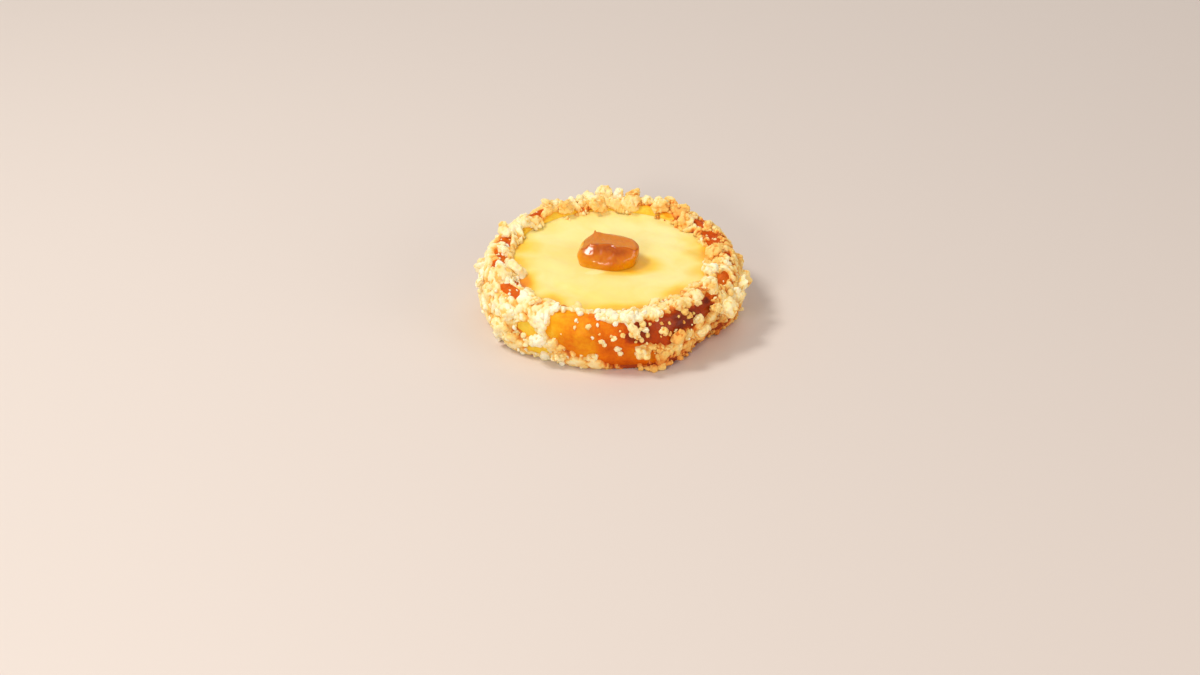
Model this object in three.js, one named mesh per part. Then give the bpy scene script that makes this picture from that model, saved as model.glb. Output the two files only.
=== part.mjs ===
// A round cheese pastry: a hand-shaped yeast dough base with a raised rim, a disc of cheese
// filling in its well, a dollop of caramel in the middle and clumps of streusel baked onto the rim.
// Millimetres, +Z up. The origin is the middle of the flat underside.
import * as THREE from 'three';
import { ConvexGeometry } from 'three/addons/geometries/ConvexGeometry.js';
import { mergeVertices } from 'three/addons/utils/BufferGeometryUtils.js';

// The dough base. Radii are from the middle of the pastry, heights from the underside.
const FOOT_RADIUS = 45.5;
const FLANK_RADIUS = 49.6;
const FLANK_HEIGHT = 10;
const CREST_RADIUS = 44.2;
const CREST_HEIGHT = 22.4;
const WELL_RADIUS = 40.2;
const WELL_TAPER = 2.5;
const FLOOR_HEIGHT = 11.5;

// The filling lies a little below the crest at its edge and domes up to the middle.
const FILLING_DROP = 1.7;
const FILLING_DOME = 0.7;

// The caramel dollop, pushed a little to the left of the middle.
const CARAMEL_LENGTH = 24;
const CARAMEL_WIDTH = 19;
const CARAMEL_HEIGHT = 10.4;
const CARAMEL_PEAK_RISE = 1.6;
const CARAMEL_PLACE = new THREE.Vector2(-1.5, 1.8);

// The streusel clumps, in rows around the rim. Each clump is a flat-based pebble.
const CLUMP_GAP = 0.8;
const CLUMP_THICKNESS = 3.6;
const CLUMP_LEAST_SIZE = 0.82;
const CLUMP_ROUGHNESS = 0.14;
const CLUMP_BOXINESS = 0.72;

// Angles run around the pastry from its front (-Y) towards its right side (+X), in degrees.
// The egg-washed front is bare, and the darker baked side beside it holds only small crumbs.
const EGG_WASHED_ARC = [-34, 14];
const DARK_BAKED_ARC = [14, 58];
const DARK_BAKED_CLUMP_SIZE = 0.62;
// Browned spots on the crest where no clump stuck, as angles from the front.
const BARE_SPOTS = [-143, -108, -88, -58, 70, 110, 160];
const BARE_SPOT_REACH = 5.5;

// Each row fills a band of the rim's outer curve, given as shares of its length from foot to well.
const STREUSEL_ROWS = [
  { name: 'crest', count: 29, from: 0.7, to: 0.97, covers: 'unspotted' },
  { name: 'shoulder', count: 19, from: 0.46, to: 0.71, covers: 'unwashed' },
  { name: 'flank', count: 18, from: 0.18, to: 0.46, covers: 'unwashed' },
];

// Touching pieces keep this much air between their faces.
const CLEARANCE = 0.3;

// The hand-shaped outline and rim height wander by these shares. The whole pastry has risen a
// little higher towards its back, and its rim more so.
const OUTLINE_WANDER = 0.014;
const RIM_WANDER = 0.01;
const RISE_TO_THE_BACK = 0.035;
const RIM_RISE_AT_THE_BACK = 0.09;

// How finely the round pieces are faceted.
const SEGMENTS_AROUND = 72;
const RIM_STEPS = 18;
const FILLING_STEPS = 8;
const ROUNDNESS = 2.4;

const DOUGH = { color: 0xd9822b, roughness: 0.45, metalness: 0 };
const CHEESE = { color: 0xfbe38c, roughness: 0.5, metalness: 0 };
const CARAMEL = { color: 0xc9782f, roughness: 0.2, metalness: 0 };
const STREUSEL = { color: 0xf6d79a, roughness: 0.9, metalness: 0 };

const LIP_HEIGHT = CREST_HEIGHT - FILLING_DROP;
const MIDDLE_OF_FILLING = LIP_HEIGHT + FILLING_DOME;

// A repeatable source of random numbers from 0 to 1.
function randomSource(seed) {
  let state = seed;
  return () => {
    state = (state * 1664525 + 1013904223) % 4294967296;
    return state / 4294967296;
  };
}

// One quarter of a rounded corner, fuller than an ellipse, in (radius, height).
// turn runs from 0 on the radius axis to 1 on the height axis.
function roundedCorner(centre, reach, rise, turn) {
  const angle = turn * Math.PI / 2;
  const across = Math.cos(angle) ** (2 / ROUNDNESS);
  const up = Math.sin(angle) ** (2 / ROUNDNESS);
  return new THREE.Vector2(centre.x + reach * across, centre.y + rise * up);
}

// The rim's outer curve in (radius, height): foot, bulging flank, crest and the lip of the well.
class RimCurve extends THREE.Curve {
  getPoint(t) {
    const third = Math.min(Math.floor(t * 3), 2);
    const along = Math.min(Math.max(t * 3 - third, 0), 1);
    if (third === 0) {
      const centre = new THREE.Vector2(FOOT_RADIUS, FLANK_HEIGHT);
      return roundedCorner(centre, FLANK_RADIUS - FOOT_RADIUS, -FLANK_HEIGHT, 1 - along);
    }
    if (third === 1) {
      const centre = new THREE.Vector2(CREST_RADIUS, FLANK_HEIGHT);
      const reach = FLANK_RADIUS - CREST_RADIUS;
      return roundedCorner(centre, reach, CREST_HEIGHT - FLANK_HEIGHT, along);
    }
    const centre = new THREE.Vector2(CREST_RADIUS, LIP_HEIGHT);
    return roundedCorner(centre, WELL_RADIUS - CREST_RADIUS, FILLING_DROP, 1 - along);
  }
}

const rim = new RimCurve();
rim.arcLengthDivisions = 600;

// The outline isn't a true circle and the rim isn't level, as on any pastry shaped by hand.
// The flat underside stays flat.
function handShaped(point) {
  const angle = Math.atan2(point.y, point.x);
  const fromMiddle = Math.hypot(point.x, point.y) / CREST_RADIUS;
  const outline = 1 + OUTLINE_WANDER * (Math.cos(2 * angle + 3.5) + 0.3 * Math.cos(3 * angle - 1));
  const wave = RIM_WANDER * Math.cos(3 * angle + 0.8) * Math.min(fromMiddle, 1) ** 3;
  const backRim = (0.5 + 0.5 * Math.sin(angle)) ** 1.2 * Math.min(fromMiddle, 1) ** 10;
  const tilt = RISE_TO_THE_BACK * point.y / CREST_RADIUS;
  const lift = 1 + wave + tilt + RIM_RISE_AT_THE_BACK * backRim;
  return new THREE.Vector3(point.x * outline, point.y * outline, point.z * lift);
}

// A point on the dough's outer surface: angle in radians, share along the rim's outer curve.
function pointOnRim(angle, share) {
  const profile = rim.getPointAt(Math.min(Math.max(share, 0), 1));
  const x = profile.x * Math.cos(angle);
  const y = profile.x * Math.sin(angle);
  return handShaped(new THREE.Vector3(x, y, profile.y));
}

// Moves every vertex of a geometry, and leaves one closed mesh with shared vertices.
function reshaped(geometry, move) {
  geometry.deleteAttribute('normal');
  geometry.deleteAttribute('uv');
  const position = geometry.getAttribute('position');
  for (let i = 0; i < position.count; i += 1) {
    const moved = move(new THREE.Vector3().fromBufferAttribute(position, i));
    position.setXYZ(i, moved.x, moved.y, moved.z);
  }
  const merged = mergeVertices(geometry, 1e-4);
  merged.computeVertexNormals();
  return merged;
}

function named(name, geometry, finish) {
  const mesh = new THREE.Mesh(geometry, new THREE.MeshStandardMaterial(finish));
  mesh.name = name;
  return mesh;
}

// Turns a profile in (radius, height), from the axis round to the axis, about +Z.
function turned(profile) {
  const geometry = new THREE.LatheGeometry(profile, SEGMENTS_AROUND);
  geometry.rotateX(Math.PI / 2);
  return reshaped(geometry, handShaped);
}

function doughBase() {
  const profile = [new THREE.Vector2(0, 0), new THREE.Vector2(FOOT_RADIUS / 2, 0)];
  for (let i = 0; i <= RIM_STEPS; i += 1) {
    profile.push(rim.getPointAt(i / RIM_STEPS));
  }
  const floorRadius = WELL_RADIUS - WELL_TAPER;
  profile.push(new THREE.Vector2(floorRadius, FLOOR_HEIGHT));
  profile.push(new THREE.Vector2(floorRadius / 2, FLOOR_HEIGHT));
  profile.push(new THREE.Vector2(0, FLOOR_HEIGHT));
  return named('dough_base', turned(profile), DOUGH);
}

function cheeseFilling() {
  const edge = WELL_RADIUS - CLEARANCE;
  const bottom = FLOOR_HEIGHT + CLEARANCE;
  const profile = [
    new THREE.Vector2(0, bottom),
    new THREE.Vector2((edge - WELL_TAPER) / 2, bottom),
    new THREE.Vector2(edge - WELL_TAPER, bottom),
  ];
  for (let i = 0; i <= FILLING_STEPS; i += 1) {
    const share = 1 - i / FILLING_STEPS;
    profile.push(new THREE.Vector2(edge * share, LIP_HEIGHT + FILLING_DOME * (1 - share ** 2)));
  }
  return named('cheese_filling', turned(profile), CHEESE);
}

// The dollop has a flat base, steep sides, a softly sloping top and one peak at its back left.
function caramelDollop() {
  const undercut = 0.35;
  const bodyHeight = CARAMEL_HEIGHT - CARAMEL_PEAK_RISE;
  const geometry = reshaped(new THREE.IcosahedronGeometry(1, 4), (p) => {
    const side = 1 + 0.05 * Math.cos(3 * Math.atan2(p.y, p.x) + 0.7);
    const rise = Math.max(p.z + undercut, 0) / (1 + undercut);
    const slope = 1 - 0.12 * p.x + 0.08 * p.y;
    const fromPeak = (p.x + 0.42) ** 2 + (p.y - 0.4) ** 2;
    const peak = CARAMEL_PEAK_RISE * Math.exp(-fromPeak / 0.06) * Math.max(p.z, 0);
    return handShaped(new THREE.Vector3(
      CARAMEL_PLACE.x + p.x * side * CARAMEL_LENGTH / 2,
      CARAMEL_PLACE.y + p.y * side * CARAMEL_WIDTH / 2,
      MIDDLE_OF_FILLING + CLEARANCE + bodyHeight * rise ** 0.6 * slope + peak,
    ));
  });
  return named('caramel_dollop', geometry, CARAMEL);
}

// Draws a share from -1 to 1 outwards, so that a round pebble becomes a boxier one.
function boxier(share) {
  return Math.sign(share) * Math.abs(share) ** CLUMP_BOXINESS;
}

// A pebble with a flat base, standing on the surface at a place on the rim.
// size holds its half length around the rim, half width across it and thickness.
function clumpGeometry(place, size, random) {
  const step = 0.002;
  const foot = pointOnRim(place.angle, place.share);
  const ahead = pointOnRim(place.angle + step, place.share);
  const above = pointOnRim(place.angle, place.share + step);
  const around = ahead.sub(foot).normalize();
  const outwards = new THREE.Vector3().crossVectors(around, above.sub(foot)).normalize();
  const across = new THREE.Vector3().crossVectors(outwards, around);
  const ball = reshaped(new THREE.IcosahedronGeometry(1, 1), (p) => p);
  const position = ball.getAttribute('position');
  const corners = [];
  for (let i = 0; i < position.count; i += 1) {
    const p = new THREE.Vector3().fromBufferAttribute(position, i);
    const reach = 1 - CLUMP_ROUGHNESS * random();
    const height = CLEARANCE + boxier(Math.max(p.z, 0)) * reach * size.z;
    corners.push(foot.clone()
      .addScaledVector(around, boxier(p.x) * reach * size.x)
      .addScaledVector(across, boxier(p.y) * reach * size.y)
      .addScaledVector(outwards, height));
  }
  return reshaped(new ConvexGeometry(corners), (p) => p);
}

function inArc(degrees, arc) {
  return degrees > arc[0] && degrees < arc[1];
}

function onBareSpot(degrees) {
  return BARE_SPOTS.some((spot) => Math.abs(degrees - spot) < BARE_SPOT_REACH);
}

// One row of clumps around the rim. Every clump keeps to its own cell of the row's band.
function streuselRow(row, rowNumber) {
  const random = randomSource(101 + 37 * rowNumber);
  const pitch = 360 / row.count;
  const middle = (row.from + row.to) / 2;
  const radius = rim.getPointAt(middle).x;
  const halfCell = (radius * THREE.MathUtils.degToRad(pitch) - CLUMP_GAP) / 2;
  const halfBand = ((row.to - row.from) * rim.getLength() - CLUMP_GAP) / 2;
  const clumps = [];
  for (let i = 0; i < row.count; i += 1) {
    const fromFront = -180 + pitch * (i + 0.5 * (rowNumber % 2) + 0.25);
    const span = CLUMP_LEAST_SIZE + (1 - CLUMP_LEAST_SIZE) * random();
    const spread = CLUMP_LEAST_SIZE + (1 - CLUMP_LEAST_SIZE) * random();
    const height = CLUMP_LEAST_SIZE + (1 - CLUMP_LEAST_SIZE) * random();
    const onSide = row.covers === 'unwashed';
    const bare = onSide ? inArc(fromFront, EGG_WASHED_ARC) : onBareSpot(fromFront);
    const scale = onSide && inArc(fromFront, DARK_BAKED_ARC) ? DARK_BAKED_CLUMP_SIZE : 1;
    if (!bare) {
      const angle = THREE.MathUtils.degToRad(fromFront - 90);
      const size = new THREE.Vector3(halfCell * span, halfBand * spread, CLUMP_THICKNESS * height);
      size.multiplyScalar(scale);
      const number = String(clumps.length + 1).padStart(2, '0');
      const geometry = clumpGeometry({ angle, share: middle }, size, random);
      clumps.push(named(`streusel_${row.name}_${number}`, geometry, STREUSEL));
    }
  }
  return clumps;
}

function streusel() {
  const group = new THREE.Group();
  STREUSEL_ROWS.forEach((row, rowNumber) => {
    group.add(...streuselRow(row, rowNumber));
  });
  return group;
}

const pastry = new THREE.Group();
pastry.add(doughBase());
pastry.add(cheeseFilling());
pastry.add(caramelDollop());
pastry.add(streusel());

export default pastry;
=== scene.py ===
"""The looks of a round cheese pastry: dough, cheese filling, caramel and streusel.

Shapes are worked out in millimetres in the part's frame (+Z up, -Y the front) and turned into
metres where each mesh is made. Angles run around the pastry from its front towards +X, in
degrees. A place on the rim is an angle and a share of the rim's outer curve, which runs from
the foot (0) over the flank and the crest to the lip of the well (1).
"""
import math

import bmesh
import bpy
import numpy as np
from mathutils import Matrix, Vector


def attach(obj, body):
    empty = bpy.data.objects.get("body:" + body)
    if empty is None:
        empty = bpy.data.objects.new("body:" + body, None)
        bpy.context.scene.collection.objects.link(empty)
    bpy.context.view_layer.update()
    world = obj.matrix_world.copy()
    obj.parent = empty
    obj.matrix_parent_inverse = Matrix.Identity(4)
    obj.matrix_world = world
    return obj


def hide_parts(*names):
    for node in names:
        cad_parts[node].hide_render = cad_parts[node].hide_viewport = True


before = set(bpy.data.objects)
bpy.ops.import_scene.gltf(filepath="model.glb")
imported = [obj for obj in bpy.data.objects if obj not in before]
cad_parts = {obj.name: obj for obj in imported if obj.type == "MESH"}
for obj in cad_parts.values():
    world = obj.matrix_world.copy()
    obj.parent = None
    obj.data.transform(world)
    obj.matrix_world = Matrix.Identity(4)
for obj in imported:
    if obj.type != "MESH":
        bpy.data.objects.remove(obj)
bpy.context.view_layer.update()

MM = 0.001

# The part's own sizes, in millimetres.
FOOT_RADIUS = 45.5
FLANK_RADIUS = 49.6
FLANK_HEIGHT = 10
CREST_RADIUS = 44.2
CREST_HEIGHT = 22.4
WELL_RADIUS = 40.2
WELL_TAPER = 2.5
FLOOR_HEIGHT = 11.5
FILLING_DROP = 1.7
FILLING_DOME = 0.7
LIP_HEIGHT = CREST_HEIGHT - FILLING_DROP
# How far in over the filling the rim's crumbs can reach.
FILLING_EDGE = 7
OUTLINE_WANDER = 0.014
RIM_WANDER = 0.01
RISE_TO_THE_BACK = 0.035
RIM_RISE_AT_THE_BACK = 0.09
ROUNDNESS = 2.4

random = np.random.default_rng(20)

# Added to noise coordinates so that the lattice's whole numbers stay positive.
LATTICE_SHIFT = 1000.0
# The seeds that decide where the grains lie on the coat, and on the clumps and single crumbs.
COAT_SEED = 400
GRAIN_SEED = 80
FINE_GRAIN_SEED = 90


# ---------------------------------------------------------------- numbers and noise

def smoothstep(low, high, value):
    t = np.clip((value - low) / (high - low), 0, 1)
    return t * t * (3 - 2 * t)


def lattice_value(ix, iy, iz, seed):
    """A repeatable number from -1 to 1 for each whole-number corner."""
    mixed = ix * 374761393 + iy * 668265263 + iz * 1440662683 + seed * 974634777
    mixed = mixed & 0xFFFFFFFF
    mixed = ((mixed ^ (mixed >> 13)) * 1274126177) & 0xFFFFFFFF
    return ((mixed ^ (mixed >> 16)) & 0xFFFF) / 32767.5 - 1


def noise(points, size, seed):
    """Smooth noise from -1 to 1 with features about size millimetres across."""
    scaled = points / size + LATTICE_SHIFT
    corner = np.floor(scaled).astype(np.int64)
    part = scaled - corner
    part = part * part * part * (part * (part * 6 - 15) + 10)
    total = np.zeros(len(points))
    for dx in (0, 1):
        for dy in (0, 1):
            for dz in (0, 1):
                weight = (np.where(dx, part[:, 0], 1 - part[:, 0])
                          * np.where(dy, part[:, 1], 1 - part[:, 1])
                          * np.where(dz, part[:, 2], 1 - part[:, 2]))
                ix, iy, iz = corner[:, 0] + dx, corner[:, 1] + dy, corner[:, 2] + dz
                total += weight * lattice_value(ix, iy, iz, seed)
    return total


def rough_noise(points, size, seed, octaves=4):
    """Noise with finer and weaker layers, each half the size and strength of the last."""
    total = np.zeros(len(points))
    strength = 1.0
    for octave in range(octaves):
        total += strength * noise(points, size / 2 ** octave, seed + octave)
        strength *= 0.5
    return total / 1.6


def grain_height(points, size, seed):
    """Heights from 0 to 1 of rounded grains up to size millimetres across, packed at random."""
    scaled = points / size + LATTICE_SHIFT
    corner = np.floor(scaled).astype(np.int64)
    highest = np.zeros(len(points))
    for dx in (-1, 0, 1):
        for dy in (-1, 0, 1):
            for dz in (-1, 0, 1):
                ix, iy, iz = corner[:, 0] + dx, corner[:, 1] + dy, corner[:, 2] + dz
                shift = [0.5 * lattice_value(ix, iy, iz, seed + axis) for axis in range(3)]
                centre = np.stack([ix, iy, iz], 1) + 0.5 + np.stack(shift, 1)
                radius = 0.72 + 0.23 * lattice_value(ix, iy, iz, seed + 3)
                apart = np.linalg.norm(scaled - centre, axis=1) / radius
                height = radius * np.sqrt(np.maximum(1 - apart ** 2, 0))
                highest = np.maximum(highest, height)
    return highest / 0.95


# ---------------------------------------------------------------- the rim's shape

def rounded_corner(centre, reach, rise, turn):
    """A squarish quarter turn, from straight out (0) to straight up (1)."""
    angle = turn * np.pi / 2
    across = np.cos(angle) ** (2 / ROUNDNESS)
    up = np.sin(angle) ** (2 / ROUNDNESS)
    return centre[0] + reach * across, centre[1] + rise * up


def rim_table():
    """The rim's outer curve as (share of its length, radius, height). Shares above 1 run on over
    the edge of the filling.
    """
    turn = np.linspace(0, 1, 400)
    foot = rounded_corner((FOOT_RADIUS, FLANK_HEIGHT), FLANK_RADIUS - FOOT_RADIUS,
                          -FLANK_HEIGHT, 1 - turn)
    flank = rounded_corner((CREST_RADIUS, FLANK_HEIGHT), FLANK_RADIUS - CREST_RADIUS,
                           CREST_HEIGHT - FLANK_HEIGHT, turn)
    lip = rounded_corner((CREST_RADIUS, LIP_HEIGHT), WELL_RADIUS - CREST_RADIUS,
                         FILLING_DROP, 1 - turn)
    radius = np.concatenate([foot[0], flank[0], lip[0], [WELL_RADIUS - FILLING_EDGE]])
    height = np.concatenate([foot[1], flank[1], lip[1], [LIP_HEIGHT + 0.2]])
    step = np.hypot(np.diff(radius), np.diff(height))
    length = np.concatenate([[0], np.cumsum(step)])
    rim_length = length[-2]
    return length / rim_length, radius, height, rim_length


RIM_SHARE, RIM_RADIUS, RIM_HEIGHT, RIM_LENGTH = rim_table()


def hand_shaped(points):
    """The outline and the rim's height wander, and the back stands higher, as on the part."""
    x, y, z = points[:, 0], points[:, 1], points[:, 2]
    angle = np.arctan2(y, x)
    from_middle = np.minimum(np.hypot(x, y) / CREST_RADIUS, 1)
    outline = 1 + OUTLINE_WANDER * (np.cos(2 * angle + 3.5) + 0.3 * np.cos(3 * angle - 1))
    wave = RIM_WANDER * np.cos(3 * angle + 0.8) * from_middle ** 3
    back_rim = (0.5 + 0.5 * np.sin(angle)) ** 1.2 * from_middle ** 10
    lift = 1 + wave + RISE_TO_THE_BACK * y / CREST_RADIUS + RIM_RISE_AT_THE_BACK * back_rim
    return np.stack([x * outline, y * outline, z * lift], axis=1)


def on_axis(angle_degrees, radius, height):
    """Points at an angle from the front, before the pastry is shaped by hand."""
    angle = np.radians(angle_degrees)
    return np.stack([radius * np.sin(angle), -radius * np.cos(angle), height], axis=1)


def turn_between(angle, centre):
    """The angle past centre, from -180 to 180 degrees."""
    return (angle - centre + 180) % 360 - 180


# Where the foot spread out over the tray or tucked in: (angle, half width in degrees, millimetres).
FOOT_SPREAD = [
    (0, 45, -2.0), (-31, 9, -2.2), (-50, 11, 1.6), (22, 8, 2.4), (55, 14, -4.6), (82, 12, 1.2),
    (-88, 16, 1.0), (-120, 14, -1.2), (150, 20, -1),
]


def foot_spread(angle, share):
    """How far the foot stands out from the part's own outline, in millimetres."""
    reach = np.zeros(len(angle))
    for centre, half_width, spread in FOOT_SPREAD:
        reach += spread * np.exp(-(turn_between(angle, centre) / half_width) ** 2)
    return reach * smoothstep(0.62, 0.2, share)


def rim_surface(angle_degrees, share):
    """Points and outward normals on the rim."""
    angle_degrees = np.asarray(angle_degrees, float)
    share = np.asarray(share, float)

    def at(angles, shares):
        radius = np.interp(shares, RIM_SHARE, RIM_RADIUS) + foot_spread(angles, shares)
        height = np.interp(shares, RIM_SHARE, RIM_HEIGHT)
        return hand_shaped(on_axis(angles, radius, height))

    place = at(angle_degrees, share)
    around = at(angle_degrees + 0.2, share) - at(angle_degrees - 0.2, share)
    up = at(angle_degrees, share + 0.004) - at(angle_degrees, share - 0.004)
    out = np.cross(around, up)
    out /= np.linalg.norm(out, axis=1, keepdims=True)
    return place, out


def angle_from_front(points):
    return np.degrees(np.arctan2(points[:, 0], -points[:, 1]))


# ---------------------------------------------------------------- where the bakes and crumbs are

# Soft-edged patches on the rim: (angle, share, half width in degrees, half height as a share).
EGG_WASHED = [
    (-19, 0.64, 11, 0.24), (-9, 0.56, 15, 0.30), (1, 0.48, 13, 0.34), (7, 0.28, 12, 0.20),
    (-14, 0.82, 9, 0.09),
]
DARK_BAKED = [
    (14, 0.60, 8, 0.13), (24, 0.60, 10, 0.18), (35, 0.65, 10, 0.15), (47, 0.66, 8, 0.11),
]
# Browned, glossy dough that shows between the crumbs.
BROWN_SPOTS = [
    (-57, 0.80, 9, 0.08), (-60, 0.95, 7, 0.06), (-84, 0.84, 7, 0.09), (-92, 0.88, 8, 0.09),
    (-106, 0.84, 7, 0.10), (-138, 0.82, 6, 0.07), (-162, 0.81, 7, 0.05), (-170, 0.79, 5, 0.06),
    (160, 0.79, 5, 0.07), (147, 0.90, 4, 0.05), (128, 0.85, 7, 0.07), (114, 0.88, 7, 0.07),
    (106, 0.86, 5, 0.06), (107, 0.97, 7, 0.05), (90, 0.80, 5, 0.07), (70, 0.78, 6, 0.07),
    (54, 0.74, 5, 0.06), (-95, 0.5, 7, 0.09), (150, 0.4, 14, 0.14), (95, 0.40, 8, 0.08),
    (-130, 0.34, 11, 0.12),
]
# Pale yellow dough that shows between the crumbs.
YELLOW_DOUGH = [
    (-39, 0.47, 6, 0.11), (-42, 0.98, 7, 0.05), (-150, 0.98, 12, 0.07), (162, 0.97, 10, 0.09),
    (147, 0.96, 5, 0.06), (-176, 0.99, 8, 0.04), (-124, 0.97, 6, 0.05), (-36, 0.2, 6, 0.08),
]
# Bigger lumps of streusel among the crumbs: (angle, share, radius in millimetres).
LARGE_LUMPS = [
    (10, 0.64, 2.3), (30, 0.48, 3.0), (61, 0.54, 3.6), (43, 0.45, 2.6), (21, 0.39, 2.1),
    (14, 0.37, 2.4), (-75, 1.00, 3.5), (-68, 0.82, 3.2), (-154, 0.91, 3.0), (-172, 0.92, 3.0),
    (168, 0.91, 2.8), (153, 0.87, 2.7), (-169, 0.79, 3.0), (-160, 0.84, 1.9), (161, 0.82, 2.1),
    (150, 0.78, 2.2), (142, 0.76, 2.0), (-118, 0.76, 2.0), (88, 0.50, 2.8), (79, 0.56, 2.5),
    (93, 0.42, 2.3), (26, 1.08, 1.7), (-33, 0.42, 2.2), (-50, 0.58, 2.6), (-96, 0.90, 2.2),
    (176, 0.82, 2.7), (-177, 0.80, 2.8), (169, 0.80, 2.8), (-146, 0.84, 2.2), (72, 0.52, 2.4),
    (-84, 0.52, 2.0), (-92, 0.60, 2.2), (-102, 0.50, 1.9), (132, 0.95, 2.3), (90, 0.94, 2.6),
    (72, 0.93, 2.4), (53, 0.60, 2.3), (-24, 0.20, 2.0),
]
# Single crumbs stuck to the bare dough: (angle, share, radius in millimetres).
LONE_CRUMBS = [
    (-10, 0.70, 1.0), (-4, 0.52, 1.1), (-3, 0.48, 0.7), (1, 0.57, 1.0), (0, 0.60, 0.8),
    (-8, 0.57, 0.5), (-22, 0.56, 0.7), (-6, 0.73, 0.5), (-16, 0.76, 0.6), (-16, 0.68, 0.6),
    (3, 0.42, 1.1), (4, 0.34, 0.9), (5, 0.61, 0.8), (4, 0.66, 0.6), (14, 0.72, 0.9),
    (15, 0.65, 1.1), (23, 0.69, 0.6), (24, 0.57, 0.6), (22, 0.53, 0.5), (38, 0.68, 0.9),
    (44, 0.57, 0.8), (34, 0.62, 0.5), (-7, 0.90, 1.0), (-7, 0.85, 0.8), (-6, 0.80, 0.6),
    (22, 0.12, 1.9), (19, 0.10, 1.2), (25, 0.14, 1.3), (-13, 0.60, 0.4), (-5, 0.62, 0.4),
]
# Where crumbs have spilled over the filling's edge: (angle, half width in degrees, millimetres).
SPILLED = [
    (-25, 14, 1.6), (2, 16, 2.4), (32, 16, 4.6), (56, 14, 4.0), (84, 12, 3.4), (-72, 7, 3.0),
    (-52, 6, 1.5), (112, 8, 1.6), (135, 6, 2.0), (-160, 10, 1.0), (-112, 8, 1.4),
]


def patch_strength(angle, share, patches, wobble):
    """From 0 outside every patch to 1 inside one. wobble roughens the edges."""
    strength = np.zeros(len(angle))
    for centre, middle, half_width, half_height in patches:
        across = turn_between(angle, centre) / half_width
        up = (share - middle) / half_height
        strength = np.maximum(strength, smoothstep(1.15, 0.8, np.hypot(across, up) + wobble))
    return strength


def rim_masks(points, angle, share):
    """How strongly each kind of bare dough shows at each place."""
    wobble = 0.28 * rough_noise(points, 6, 31) + 0.22 * noise(points, 1.8, 37)
    washed = patch_strength(angle, share, EGG_WASHED, wobble)
    dark = patch_strength(angle, share, DARK_BAKED, wobble)
    spots = patch_strength(angle, share, BROWN_SPOTS, wobble * 1.4)
    yellow = patch_strength(angle, share, YELLOW_DOUGH, wobble)
    return washed, dark, spots, yellow


def crumb_cover(points, angle, share):
    """From 0 where the dough or the filling is bare to 1 under a full coat of crumbs."""
    washed, dark, spots, yellow = rim_masks(points, angle, share)
    bare = np.maximum(np.maximum(washed, dark), np.maximum(spots, yellow))
    spilled = np.zeros(len(angle))
    for centre, half_width, reach in SPILLED:
        beside = np.abs(turn_between(angle, centre)) / half_width
        spilled = np.maximum(spilled, reach * smoothstep(1.3, 0.3, beside))
    past_lip = (share - 1) * RIM_LENGTH
    wandering = 1.0 * noise(points, 2.6, 35) + 0.6 * noise(points, 1.2, 36)
    on_filling = smoothstep(0.9, -0.5, past_lip - spilled + wandering)
    return (1 - bare) * on_filling


# ---------------------------------------------------------------- making meshes

def smooth_object(name, points, faces, attributes=None):
    """A smooth-shaded mesh in the scene, from points in millimetres. attributes are per point."""
    mesh = bpy.data.meshes.new(name)
    face_list = faces if isinstance(faces, list) else faces.tolist()
    mesh.from_pydata((points * MM).tolist(), [], face_list)
    for key, values in (attributes or {}).items():
        layer = mesh.attributes.new(key, "FLOAT", "POINT")
        layer.data.foreach_set("value", np.asarray(values, np.float32))
    mesh.polygons.foreach_set("use_smooth", [True] * len(mesh.polygons))
    mesh.update()
    obj = bpy.data.objects.new(name, mesh)
    bpy.context.scene.collection.objects.link(obj)
    return obj


def finish_piece(obj, material, nodes=()):
    """Gives a piece its material and slot, hangs it under the root body, and hides the CAD nodes
    that it stands for.
    """
    obj.data.materials.append(material)
    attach(obj, "root")
    if nodes:
        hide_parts(*nodes)
    return obj


def turned_faces(rings, around):
    """Quads between rings of points, with a fan of triangles at each end point."""
    faces = []
    first = 1
    index = np.arange(around)
    following = (index + 1) % around
    for i in index:
        faces.append((0, first + following[i], first + i))
    for ring in range(rings - 1):
        low = first + ring * around
        high = low + around
        quads = np.stack([low + index, low + following, high + following, high + index], 1)
        faces += quads.tolist()
    last_ring = first + (rings - 1) * around
    end = last_ring + around
    for i in index:
        faces.append((end, last_ring + i, last_ring + following[i]))
    return [tuple(int(v) for v in face) for face in faces]


def turned_points(radius, height, around):
    """Rings for every profile point but the first and last, which lie on the axis."""
    angle = np.arange(around) * 360.0 / around
    points = [[[0.0, 0.0, height[0]]]]
    for r, z in zip(radius[1:-1], height[1:-1]):
        points.append(on_axis(angle, np.full(around, r), np.full(around, z)))
    points.append([[0.0, 0.0, height[-1]]])
    return np.concatenate([np.asarray(p, float) for p in points])


# ---------------------------------------------------------------- materials

def node_material(name):
    material = bpy.data.materials.new(name)
    material.use_nodes = True
    nodes = material.node_tree.nodes
    links = material.node_tree.links
    return material, nodes, links, nodes["Principled BSDF"]


def linear(red, green, blue):
    """A screen colour from 0 to 255 as the shader's linear colour."""
    def one(value):
        value /= 255
        return value / 12.92 if value <= 0.04045 else ((value + 0.055) / 1.055) ** 2.4
    return one(red), one(green), one(blue), 1


def attribute(nodes, name):
    node = nodes.new("ShaderNodeAttribute")
    node.attribute_name = name
    return node.outputs["Fac"]


def coordinates(nodes):
    return nodes.new("ShaderNodeTexCoord").outputs["Object"]


def noise_node(nodes, links, size_mm, detail=4.0, roughness=0.6, distortion=0.0):
    node = nodes.new("ShaderNodeTexNoise")
    node.inputs["Scale"].default_value = 1000.0 / size_mm
    node.inputs["Detail"].default_value = detail
    node.inputs["Roughness"].default_value = roughness
    node.inputs["Distortion"].default_value = distortion
    links.new(coordinates(nodes), node.inputs["Vector"])
    return node.outputs["Fac"]


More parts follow.
